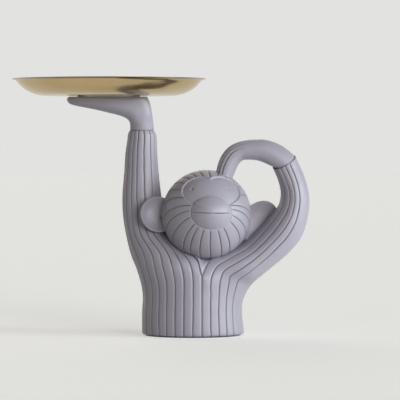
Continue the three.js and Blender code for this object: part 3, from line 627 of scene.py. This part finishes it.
RIGHT_HAND = (
    Rib((62.7, 128.7), (78.2, 136.9), 9, -13, lean=(1.4, -2.7)),
    Rib((62, 129.8), (77.5, 138.4), 9.1, -13, lean=(1.3, -2.5)),
    Rib((58.6, 131.2), (72.6, 142.9), 9.1, -13, lean=(0.9, -1.5)),
    Rib((54.2, 133.2), (65.3, 147.5), 9.2, -12.8, lean=(0.3, -0.6)),
    Rib((50, 134.7), (56.5, 150.5), 9.2, -12.6),
    Rib((45.8, 135.3), (49, 150.9), 9.2, -12.4),
    Rib((42, 135.4), (42, 150.5), 9.2, -12.2, (2, 2.2)),
    Rib((38.4, 135), (34, 148.7), 9.1, -12, (2, 2.4), 0.4),
    Rib((36, 133.2), (27.4, 145.2), 9, -12, (2, 2.6), 0.8),
    Rib((34.2, 130.4), (22.6, 139.8), 8.9, -12, (2, 2.6), 1),
    Rib((32.6, 127), (19.4, 133.2), 8.8, -12, (2, 2.6), 1),
    Rib((31, 123), (17.8, 126.6), 8.6, -12, (2, 2.6), 1),
    Rib((29.6, 118), (16.8, 120), 8.4, -12, (2, 2.6), 1),
)


def make_tray_hand(material):
    bm = bmesh.new()
    lay_tube(bm, TRAY_HAND, TRAY_FINGER_LINES)
    palm = bmesh.ops.bisect_plane(
        bm, geom=[*bm.verts, *bm.edges, *bm.faces], plane_co=PALM_CENTRE, plane_no=(0, 0, 1),
        clear_outer=True,
    )
    cut = [edge for edge in palm["geom_cut"] if isinstance(edge, bmesh.types.BMEdge)]
    bmesh.ops.holes_fill(bm, edges=cut, sides=0)
    for edge in cut:
        edge.smooth = False
    return finish_piece(bm, "tray_hand_cast", material, "figure", "resin", "tray_hand")


def make_right_hand(material):
    bm = bmesh.new()
    lay_tube(bm, RIGHT_HAND, RIGHT_FINGER_LINES)
    seat_on_head(bm)
    return finish_piece(bm, "right_hand_cast", material, "figure", "resin", "right_hand")


# Head: rings round the middle of the face
# A turn of 0 is the chin, and positive turns go to the right. The hair lines stand at these turns.

HAIR_TURNS = [math.radians(turn) for turn in (
    -180, -169.5, -159.5, -149.5, -139.5, -129.5, -119.5, -109, -95, -77.5, -55.5, -42, -23.4,
    -2.2, 22, 40.8, 66.5, 84.6, 101, 112, 123, 134, 145, 156, 168, 180,
)]
HAIR_STEPS = 6
# The mask's edge: degrees from the top of the head, and the distance from the middle of the face
MASK_OUTLINE = (
    (0, 26.5), (13, 29), (27, 30.2), (39.5, 30.2), (52, 28.5), (58, 26.1), (62.7, 22), (66, 16),
)
MASK_CURVE_STEPS = 30
MUZZLE_ROWS, WALL_ROWS, MASK_ROWS, HAIR_ROWS, BACK_ROWS = 22, 4, 30, 52, 8


def muzzle_edge(turn):
    return 1 / math.hypot(math.sin(turn) / MUZZLE_HALF_WIDTH, math.cos(turn) / MUZZLE_HALF_HEIGHT)


MASK_SPANS = len(MASK_OUTLINE) - 1
mask_curve = [
    on_curve(lambda k: Vector(MASK_OUTLINE[k]), 0, MASK_SPANS, place)
    for place in places(0, [MASK_CURVE_STEPS] * MASK_SPANS)
]


def mask_edge(turn):
    from_top = 180 - abs(math.degrees(turn))
    least = muzzle_edge(turn) + MASK_LEAST
    after = bisect_left([point.x for point in mask_curve], from_top)
    if after >= len(mask_curve):
        return least
    a, b = mask_curve[max(after - 1, 0)], mask_curve[after]
    part = (from_top - a.x) / (b.x - a.x) if b.x > a.x else 0
    return max(least, a.y + (b.y - a.y) * part + MASK_SHIFT * math.sin(turn))


def head_point(turn, polar, height):
    ahead, aside = math.cos(polar), math.sin(polar)
    normal = Vector((aside * math.sin(turn), -ahead, -aside * math.cos(turn)))
    return normal * HEAD_RADII + normal * height


def polar_at(distance):
    return math.asin(min(1, distance / HEAD_RADII.x))


@lru_cache(maxsize=None)
def head_rows(turn):
    """Polar angle and height of each ring at a turn, from the middle of the face to the nape."""
    muzzle, mask = muzzle_edge(turn), mask_edge(turn)
    ended = eased((mask - muzzle - MASK_LEAST) / 2)
    recess = CREASE_DEPTH + (MASK_DEPTH - CREASE_DEPTH) * ended
    step = MUZZLE_LOW_STEP + (MUZZLE_STEP - MUZZLE_LOW_STEP) * ended
    slope = MUZZLE_LOW_SLOPE + (CARVED_WALL - MUZZLE_LOW_SLOPE) * ended
    rows = []
    for row in range(MUZZLE_ROWS + 1):
        share = row / MUZZLE_ROWS
        bulge = step + (MUZZLE_BULGE - step) * (1 - share**2)
        rows.append((polar_at(muzzle * share), bulge))
    for row in range(1, WALL_ROWS + 1):
        share = row / WALL_ROWS
        height = step + (-recess - step) * eased(share)
        rows.append((polar_at(muzzle + slope * share), height))
    for row in range(1, MASK_ROWS + 1):
        share = row / MASK_ROWS
        inner, outer = muzzle + slope, mask - CARVED_WALL
        rows.append((polar_at(inner + (outer - inner) * share), -recess))
    for row in range(1, WALL_ROWS + 1):
        share = row / WALL_ROWS
        rows.append((polar_at(mask + CARVED_WALL * (share - 1)), -recess * (1 - eased(share))))
    start = polar_at(mask)
    for row in range(1, HAIR_ROWS + 1):
        rows.append((start + (HAIR_END - start) * row / HAIR_ROWS, 0))
    for row in range(1, BACK_ROWS + 1):
        rows.append((HAIR_END + (math.pi - HAIR_END) * row / BACK_ROWS, 0))
    return rows


def mouth_at(point):
    """How far the mouth line is cut at a point of the muzzle, from 0 to 1."""
    sides = abs(point.x) / (MOUTH_WIDTH / 2)
    off = abs(point.z + MOUTH_DIP * (1 - sides**2)) / MOUTH_HALF_OPENING
    return (1 - eased(off)) * eased((1 - sides) / MOUTH_END)


def make_head(material):
    bm = bmesh.new()
    carved = bm.verts.layers.float.new("carved")
    groove = bm.verts.layers.float.new("groove")
    slots = slots_to_next(HAIR_STEPS)
    columns = (len(HAIR_TURNS) - 1) * slots
    hair_row = MUZZLE_ROWS + 2 * WALL_ROWS + MASK_ROWS
    rings = hair_row + HAIR_ROWS + BACK_ROWS
    eyes = {side: head_point(side * EYE_TURN, polar_at(EYE_DISTANCE), -MASK_DEPTH) for side in (-1, 1)}
    ball = bmesh.ops.create_uvsphere(bm, u_segments=columns, v_segments=rings, radius=1)["verts"]
    for vert in ball:
        row = round(math.acos(min(max(vert.co.z, -1), 1)) / math.pi * rings)
        column = round(math.atan2(vert.co.y, vert.co.x) / (2 * math.pi) * columns) % columns
        line, slot = divmod(column, slots)
        kind, value = line_slot(slot, HAIR_STEPS)
        first, last = HAIR_TURNS[line], HAIR_TURNS[line + 1]
        polar, height = head_rows(first + (last - first) * slot / slots)[row]
        reach = max(HEAD_RADII.x * math.sin(polar), HAIR_LEAST_REACH)
        turn = first + (last - first) * slot_share(kind, value, (last - first) * reach)
        polar, height = head_rows(turn)[row]
        start = head_rows(turn)[hair_row][0]
        combed = min(1, max(0, polar - start) / (math.pi / 2 - polar_at(muzzle_edge(turn))))
        comb = HAIR_SWEEP * math.sin(turn) - HAIR_DRIFT * max(0, math.cos(turn))
        vert.co = head_point(turn - combed * comb, polar, height)
        on_hair = (row - hair_row) / HAIR_ROWS
        strength = eased((row - hair_row + 0.4) / 2) * eased((1 - on_hair) / HAIR_FADE)
        depth, shade = slot_depth(kind, value, HAIR_DEPTH)
        vert[carved], vert[groove] = depth * strength, shade * strength
        if row <= MUZZLE_ROWS:
            mouth = mouth_at(vert.co)
            vert[carved], vert[groove] = MOUTH_DEPTH * mouth, MOUTH_SHADE * mouth
        for side, eye in eyes.items():
            off = (vert.co - eye).length / EYE_RADIUS
            if off < 1:
                # painted shade in the eye dimple, as strong as it is deep
                vert[carved] = vert[groove] = EYE_DEPTHS[side] * (1 - off**2)
    face_outwards(bm)
    carve(bm)
    bmesh.ops.transform(bm, matrix=head_place, verts=bm.verts)
    return finish_piece(bm, "carved_head", material, "figure", "resin", "head")


# Ears

def spin_profile(bm, points, axis, turns):
    """Turns a line of points from one pole to the other into a closed round form."""
    profile = [bm.verts.new(point) for point in points]
    edges = [bm.edges.new(pair) for pair in zip(profile, profile[1:])]
    bmesh.ops.spin(
        bm, geom=[*profile, *edges], cent=(0, 0, 0), axis=axis, angle=2 * math.pi, steps=turns,
        use_merge=True,
    )
    bmesh.ops.remove_doubles(bm, verts=bm.verts, dist=MERGE)
    face_outwards(bm)


# Shares of the radius and of half the rim's height, from the middle of the back over the rim to the dish
EAR_PROFILE = (
    (0, -1), (0.6, -0.95), (0.88, -0.6), (1, 0.2), (0.98, 0.8), (0.94, 1),
    (0.86, 0.62), (0.7, 0), (0.5, -0.42), (0.25, -0.62), (0, -0.68),
)
EAR_TURNS = 72
EAR_STEPS = 6

# Where an ear stands: how far it hangs over the side of the head, behind its middle and above it.
# A long ear is stretched along its droop, and hole is how deep its hole is and how much painted shade it
# takes.
Ear = namedtuple("Ear", "side overhang behind height stretch hole")
LEFT_EAR = Ear(side=-1, overhang=3, behind=2.7, height=-0.5, stretch=1.05, hole=1)
RIGHT_EAR = Ear(side=1, overhang=6.5, behind=1.2, height=-4.3, stretch=1.3, hole=0)


def make_ear(name, node, ear, material):
    """A shallow saucer that faces the viewer, its inner part let into the head."""
    bm = bmesh.new()
    groove = bm.verts.layers.float.new("groove")
    back = EAR_RIM / 2
    controls = [Vector((radius * EAR_RADIUS, -along * back, 0)) for radius, along in EAR_PROFILE]
    last = len(controls) - 1
    points = [on_curve(controls.__getitem__, 0, last, place) for place in places(0, [EAR_STEPS] * last)]
    spin_profile(bm, points, (0, 1, 0), EAR_TURNS)
    hole_place = Vector((-ear.side * EAR_HOLE_PLACE.x, -back, EAR_HOLE_PLACE.y))
    for vert in bm.verts:
        off = (vert.co - hole_place).xz.length / EAR_HOLE_RADIUS
        # painted shade in the ear hole, which also sets how deep it is
        if off < 1 and vert.normal.y < 0:
            vert[groove] = ear.hole * (1 - off**2)
            vert.co.y += EAR_HOLE_DEPTH * vert[groove]
    offset = Vector((ear.side * (HEAD_RADII.x + ear.overhang), ear.behind, ear.height))
    droop = Matrix.Rotation(ear.side * EAR_DROOP, 4, "Y")
    long_way = droop @ Matrix.Diagonal((1, 1, ear.stretch, 1)) @ droop.inverted()
    bmesh.ops.transform(bm, matrix=head_place @ Matrix.Translation(offset) @ long_way, verts=bm.verts)
    return finish_piece(bm, name, material, "figure", "resin", node)


# Tray: pressed sheet with a flat floor, a round corner and a flared rim

TRAY_LIP_TURNS = (-0.8, 0, 0.8)


def tray_side(offset):
    """Radius and height along one side of the sheet, from the middle of the floor to the rim."""
    radius = TRAY_CORNER_RADIUS - offset
    floor = TRAY_FLOOR_DIAMETER / 2
    points = [(floor * step / TRAY_FLOOR_STEPS, offset) for step in range(TRAY_FLOOR_STEPS)]
    for step in range(TRAY_CORNER_STEPS + 1):
        turn = TRAY_CORNER_ANGLE * step / TRAY_CORNER_STEPS
        points.append((floor + radius * math.sin(turn), TRAY_CORNER_RADIUS - radius * math.cos(turn)))
    (x, z), rim = points[-1], TRAY_DIAMETER / 2 - TRAY_LIP
    for step in range(1, TRAY_RIM_STEPS + 1):
        share = step / TRAY_RIM_STEPS
        points.append((x + (rim - x) * share, z + TRAY_RIM_RISE * share))
    return points


def make_tray(material):
    bm = bmesh.new()
    under, over = tray_side(0), tray_side(TRAY_SHEET)
    (x0, z0), (x1, z1) = under[-1], over[-1]
    lip = [((x0 + x1) / 2 + TRAY_LIP * math.cos(turn), (z0 + z1) / 2 + (z1 - z0) / 2 * math.sin(turn))
           for turn in TRAY_LIP_TURNS]
    points = [Vector((x, 0, z)) for x, z in [*under, *lip, *reversed(over)]]
    spin_profile(bm, points, (0, 0, 1), TRAY_TURNS)
    bmesh.ops.translate(bm, vec=PALM_CENTRE + Vector((0, 0, PAD_THICKNESS)), verts=bm.verts)
    return finish_piece(bm, "pressed_tray", material, "tray", "tray_metal", "tray")


# Pads

FELT_SIDES, PAD_SIDES = 128, 96


def raise_pad(bm, thickness):
    """Gives a flat pad its thickness and soft edges."""
    made = bmesh.ops.extrude_face_region(bm, geom=list(bm.faces))
    top = [item for item in made["geom"] if isinstance(item, bmesh.types.BMVert)]
    bmesh.ops.translate(bm, vec=(0, 0, thickness), verts=top)
    face_outwards(bm)
    rims = [edge for edge in bm.edges if edge.calc_face_angle(0) > SHARP]
    bmesh.ops.bevel(
        bm, geom=rims, offset=PAD_SOFTNESS, segments=3, profile=0.5, affect="EDGES", material=-1,
        clamp_overlap=True,
    )


def make_base_felt(material):
    bm = bmesh.new()
    bmesh.ops.create_circle(bm, cap_ends=True, radius=0.5, segments=FELT_SIDES)
    width, depth = BASE_WIDTH - 2 * FELT_INSET, BASE_DEPTH - 2 * FELT_INSET
    bmesh.ops.scale(bm, vec=(width, depth, 1), verts=bm.verts)
    raise_pad(bm, FELT_THICKNESS)
    felt = finish_piece(bm, "base_felt", material, "figure", "felt", "base_pad")
    return felt


def make_palm_foam(material):
    bm = bmesh.new()
    bmesh.ops.create_circle(bm, cap_ends=True, radius=PAD_WIDTH / 2, segments=PAD_SIDES)
    straight = (PAD_LENGTH - PAD_WIDTH) / 2
    for vert in bm.verts:
        vert.co.x += math.copysign(straight, vert.co.x)
    raise_pad(bm, PAD_THICKNESS)
    bmesh.ops.translate(bm, vec=PALM_CENTRE, verts=bm.verts)
    foam = finish_piece(bm, "palm_foam", material, "figure", "foam", "palm_pad")
    return foam


# Finishes: a pair of tones is the dark and the light end of a cloudy colour

RESIN_TONES = (0.302, 0.28, 0.333, 1), (0.337, 0.32, 0.381, 1)
RESIN_SPECK = (0.42, 0.40, 0.45, 1)
# painted shade: carved lines, the mouth, the eyes, the ear hole and the sunk cuffs darken towards this
# colour
PAINTED_GROOVE_SHADE = (0.085, 0.068, 0.075, 1)
GOLD_TONES = (0.525, 0.39, 0.197, 1), (0.585, 0.455, 0.254, 1)
# painted dark reflection along the rim of the tray
GOLD_PAINTED_REFLECTION = (0.22, 0.145, 0.07, 1)
FELT_TONES = (0.03, 0.028, 0.032, 1), (0.065, 0.06, 0.068, 1)
FOAM_TONES = (0.74, 0.72, 0.69, 1), (0.84, 0.82, 0.79, 1)
FOAM_CELL = 0.6
STEEL_TONES = (0.3, 0.31, 0.32, 1), (0.4, 0.41, 0.42, 1)
FLOOR_TONES = (0.72, 0.715, 0.70, 1), (0.76, 0.755, 0.745, 1)
PALE = (0.76, 0.76, 0.75, 1)


class Finish:
    """A procedural material with helpers for its nodes."""

    def __init__(self, name, **shader):
        self.material = bpy.data.materials.new(name)
        self.material.use_nodes = True
        self.tree = self.material.node_tree
        self.shader = self.tree.nodes["Principled BSDF"]
        self.shade(**shader)
        self.place = self.tree.nodes.new("ShaderNodeTexCoord").outputs["Object"]

    def shade(self, **shader):
        """Sets or links sockets of the shader, named in small letters."""
        for name, value in shader.items():
            self.feed(self.shader.inputs[name.replace("_", " ").title().replace("Ior", "IOR")], value)

    def feed(self, socket, value):
        if isinstance(value, bpy.types.NodeSocket):
            self.tree.links.new(value, socket)
        else:
            socket.default_value = value

    def node(self, kind, output, inputs, **settings):
        node = self.tree.nodes.new("ShaderNode" + kind)
        for name, value in settings.items():
            setattr(node, name, value)
        for key, value in inputs.items():
            self.feed(node.inputs[key], value)
        return node.outputs[output]

    def grain(self, size, detail=2, vector=None, roughness=0.5):
        """Noise with features of a size in millimetres."""
        inputs = {"Vector": vector or self.place, "Scale": 1 / (size * MM), "Detail": detail,
                  "Roughness": roughness}
        return self.node("TexNoise", "Fac", inputs)

    def span(self, value, low, high, start=0.25, end=0.75):
        """Stretches a value between start and end to one between low and high."""
        inputs = {"Value": value, "From Min": start, "From Max": end, "To Min": low, "To Max": high}
        return self.node("MapRange", "Result", inputs)

    def blend(self, factor, first, second):
        """Mixes two colours: inputs 6 and 7 of the mix node, and its output 2."""
        return self.node("Mix", 2, {0: factor, 6: first, 7: second}, data_type="RGBA")

    def bump(self, height, distance, normal=None):
        inputs = {"Height": height, "Distance": distance * MM, "Strength": 1}
        if normal:
            inputs["Normal"] = normal
        return self.node("Bump", "Normal", inputs)


def cast_resin():
    finish = Finish("mauve_cast_resin", specular_ior_level=0.55)
    cloudy = finish.span(finish.grain(28, 3), 0, 1)
    speckle = finish.span(finish.grain(1.1, 2), 0, 1)
    tone = finish.blend(cloudy, *RESIN_TONES)
    tone = finish.blend(finish.span(speckle, 0, 0.1, 0, 1), tone, RESIN_SPECK)
    # painted shade: the colour darkens by the groove shade attribute in lines, slits, holes and cuffs
    groove = finish.node("Attribute", "Fac", {}, attribute_name="groove")
    tone = finish.blend(finish.span(groove, 0, 0.65, 0, 1), tone, PAINTED_GROOVE_SHADE)
    rough = finish.span(finish.grain(6, 3), 0.39, 0.48)
    skin = finish.bump(finish.grain(0.5, 3), 0.03)
    cast = finish.bump(finish.grain(9, 2), 0.12, skin)
    finish.shade(base_color=tone, roughness=rough, normal=cast)
    return finish.material


def satin_gold():
    finish = Finish("satin_gold", metallic=1)
    centre = tuple(-value * MM for value in PALM_CENTRE)
    from_middle = finish.node("Mapping", "Vector", {"Vector": finish.place, "Location": centre})
    flat = finish.node("VectorMath", "Vector", {0: from_middle, 1: (1, 1, 0)}, operation="MULTIPLY")
    radius = finish.node("VectorMath", "Value", {0: flat}, operation="LENGTH")
    around = finish.node("CombineXYZ", "Vector", {"X": radius})
    turned = finish.grain(0.35, 2, around)
    cloudy = finish.grain(22, 3)
    tone = finish.blend(finish.span(cloudy, 0, 1), *GOLD_TONES)
    # painted dark reflection: the rim darkens in this band
    reflection_band = [(TRAY_DIAMETER / 2 - inwards) * MM for inwards in TRAY_REFLECTION_BAND]
    tone = finish.blend(finish.span(radius, 0, 0.8, *reflection_band), tone, GOLD_PAINTED_REFLECTION)
    rough = finish.span(turned, 0.15, 0.24)
    finish.shade(base_color=tone, roughness=rough, normal=finish.bump(turned, 0.004))
    return finish.material


def pressed_felt():
    finish = Finish("dark_felt", sheen_weight=0.4, sheen_roughness=0.6)
    fibre = finish.grain(0.5, 4, roughness=0.7)
    tone = finish.blend(finish.span(fibre, 0, 1), *FELT_TONES)
    rough = finish.span(fibre, 0.88, 1)
    finish.shade(base_color=tone, roughness=rough, normal=finish.bump(fibre, 0.15))
    return finish.material


def pale_foam():
    finish = Finish("pale_foam")
    cells = finish.node(
        "TexVoronoi", "Distance", {"Vector": finish.place, "Scale": 1 / (FOAM_CELL * MM)}
    )
    tone = finish.blend(finish.span(cells, 0, 1, 0, 0.6), *FOAM_TONES)
    rough = finish.span(cells, 0.8, 0.95, 0, 0.6)
    finish.shade(base_color=tone, roughness=rough, normal=finish.bump(cells, 0.06))
    return finish.material


def brushed_steel():
    finish = Finish("brushed_steel", metallic=1)
    stretch = finish.node("Mapping", "Vector", {"Vector": finish.place, "Scale": (1, 1, 0.05)})
    streaks = finish.grain(0.3, 3, stretch)
    tone = finish.blend(finish.span(streaks, 0, 1), *STEEL_TONES)
    rough = finish.span(streaks, 0.3, 0.45)
    finish.shade(base_color=tone, roughness=rough, normal=finish.bump(streaks, 0.004))
    return finish.material


# Studio

CAMERA_PLACE = Vector((5.4, -1900, 154)) * MM
CAMERA_AIM = Vector((5.4, 0, 104.2)) * MM
CAMERA_SENSOR = 36
CAMERA_LENS = 221.8
FLOOR_RADIUS = 8
FLOOR_SIDES = 96
FLOOR_GLOW = 0.5
SOFT_LIGHT = (1, 0.91, 0.8, 1)
SOFT_STRENGTH = 0.17


def make_camera():
    data = bpy.data.cameras.new("camera")
    data.sensor_width = CAMERA_SENSOR
    data.lens = CAMERA_LENS
    camera = put_in_scene("camera", data)
    camera.location = CAMERA_PLACE
    camera.rotation_euler = (CAMERA_AIM - CAMERA_PLACE).to_track_quat("-Z", "Y").to_euler()
    bpy.context.scene.camera = camera


def hang_lamp(name, azimuth, elevation, spread, strength, colour):
    """A broad soft lamp, its azimuth counted from the camera's side to the right."""
    data = bpy.data.lights.new(name, "SUN")
    data.angle = math.radians(spread)
    data.energy = strength
    data.color = colour
    turn, rise = math.radians(azimuth), math.radians(elevation)
    level = math.cos(rise)
    towards = Vector((math.sin(turn) * level, -math.cos(turn) * level, math.sin(rise)))
    lamp = put_in_scene(name, data)
    lamp.location = towards
    lamp.rotation_euler = (-towards).to_track_quat("-Z", "Y").to_euler()


def lay_bounce(place, width, strength):
    """A wide lamp flat on the floor, for the light that a pale floor throws back up."""
    data = bpy.data.lights.new("bounce", "AREA")
    data.size = width
    data.energy = strength
    lamp = put_in_scene("bounce", data)
    lamp.location = place
    lamp.rotation_euler.x = math.pi
    lamp.visible_camera = lamp.visible_glossy = False


def seen_rays(tree):
    """1 for what the camera sees, also in metal or through glass, and 0 for light on other things."""
    rays = tree.nodes.new("ShaderNodeLightPath")
    seen = rays.outputs["Is Camera Ray"]
    for kind in ("Is Glossy Ray", "Is Transmission Ray"):
        either = tree.nodes.new("ShaderNodeMath")
        either.operation = "MAXIMUM"
        tree.links.new(seen, either.inputs[0])
        tree.links.new(rays.outputs[kind], either.inputs[1])
        seen = either.outputs[0]
    return seen


def lay_floor():
    bm = bmesh.new()
    bmesh.ops.create_circle(bm, cap_ends=True, radius=FLOOR_RADIUS, segments=FLOOR_SIDES)
    finish = Finish("pale_floor", roughness=0.9, specular_ior_level=0.1)
    tone = finish.blend(finish.grain(60, 2), *FLOOR_TONES)
    glow = finish.node("Math", 0, {0: seen_rays(finish.tree), 1: FLOOR_GLOW}, operation="MULTIPLY")
    finish.shade(base_color=tone, emission_color=PALE, emission_strength=glow)
    floor = put_in_scene("floor", mesh_of(bm, "floor", finish.material))


def light_world():
    world = bpy.data.worlds.new("studio")
    bpy.context.scene.world = world
    world.use_nodes = True
    tree = world.node_tree
    soft = tree.nodes["Background"]
    soft.inputs["Color"].default_value = SOFT_LIGHT
    soft.inputs["Strength"].default_value = SOFT_STRENGTH
    pale = tree.nodes.new("ShaderNodeBackground")
    pale.inputs["Color"].default_value = PALE
    mixed = tree.nodes.new("ShaderNodeMixShader")
    tree.links.new(seen_rays(tree), mixed.inputs["Fac"])
    tree.links.new(soft.outputs[0], mixed.inputs[1])
    tree.links.new(pale.outputs[0], mixed.inputs[2])
    tree.links.new(mixed.outputs[0], tree.nodes["World Output"].inputs["Surface"])


# Assembly

bpy.context.scene.view_settings.view_transform = "Standard"
make_camera()
light_world()
lay_floor()
hang_lamp("window", azimuth=70, elevation=10, spread=34, strength=2.3, colour=(0.86, 0.98, 1))
hang_lamp("fill", azimuth=31, elevation=9, spread=32, strength=1.9, colour=(0.97, 0.98, 1))
hang_lamp("back", azimuth=205, elevation=24, spread=60, strength=0.65, colour=(1, 0.98, 0.95))
lay_bounce(place=(0.28, -0.16, 0.001), width=0.4, strength=0.5)

resin, gold, steel = cast_resin(), satin_gold(), brushed_steel()
make_body(resin)
make_head(resin)
make_ear("left_ear_dish", "left_ear", LEFT_EAR, resin)
make_ear("right_ear_dish", "right_ear", RIGHT_EAR, resin)
make_tray_hand(resin)
make_right_hand(resin)
make_tray(gold)
make_base_felt(pressed_felt())
make_palm_foam(pale_foam())
for node in ("neck_dowel", "tray_wrist_dowel", "right_wrist_dowel", "palm_magnet"):
    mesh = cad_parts[node].data
    mesh.materials.clear()
    mesh.materials.append(steel)
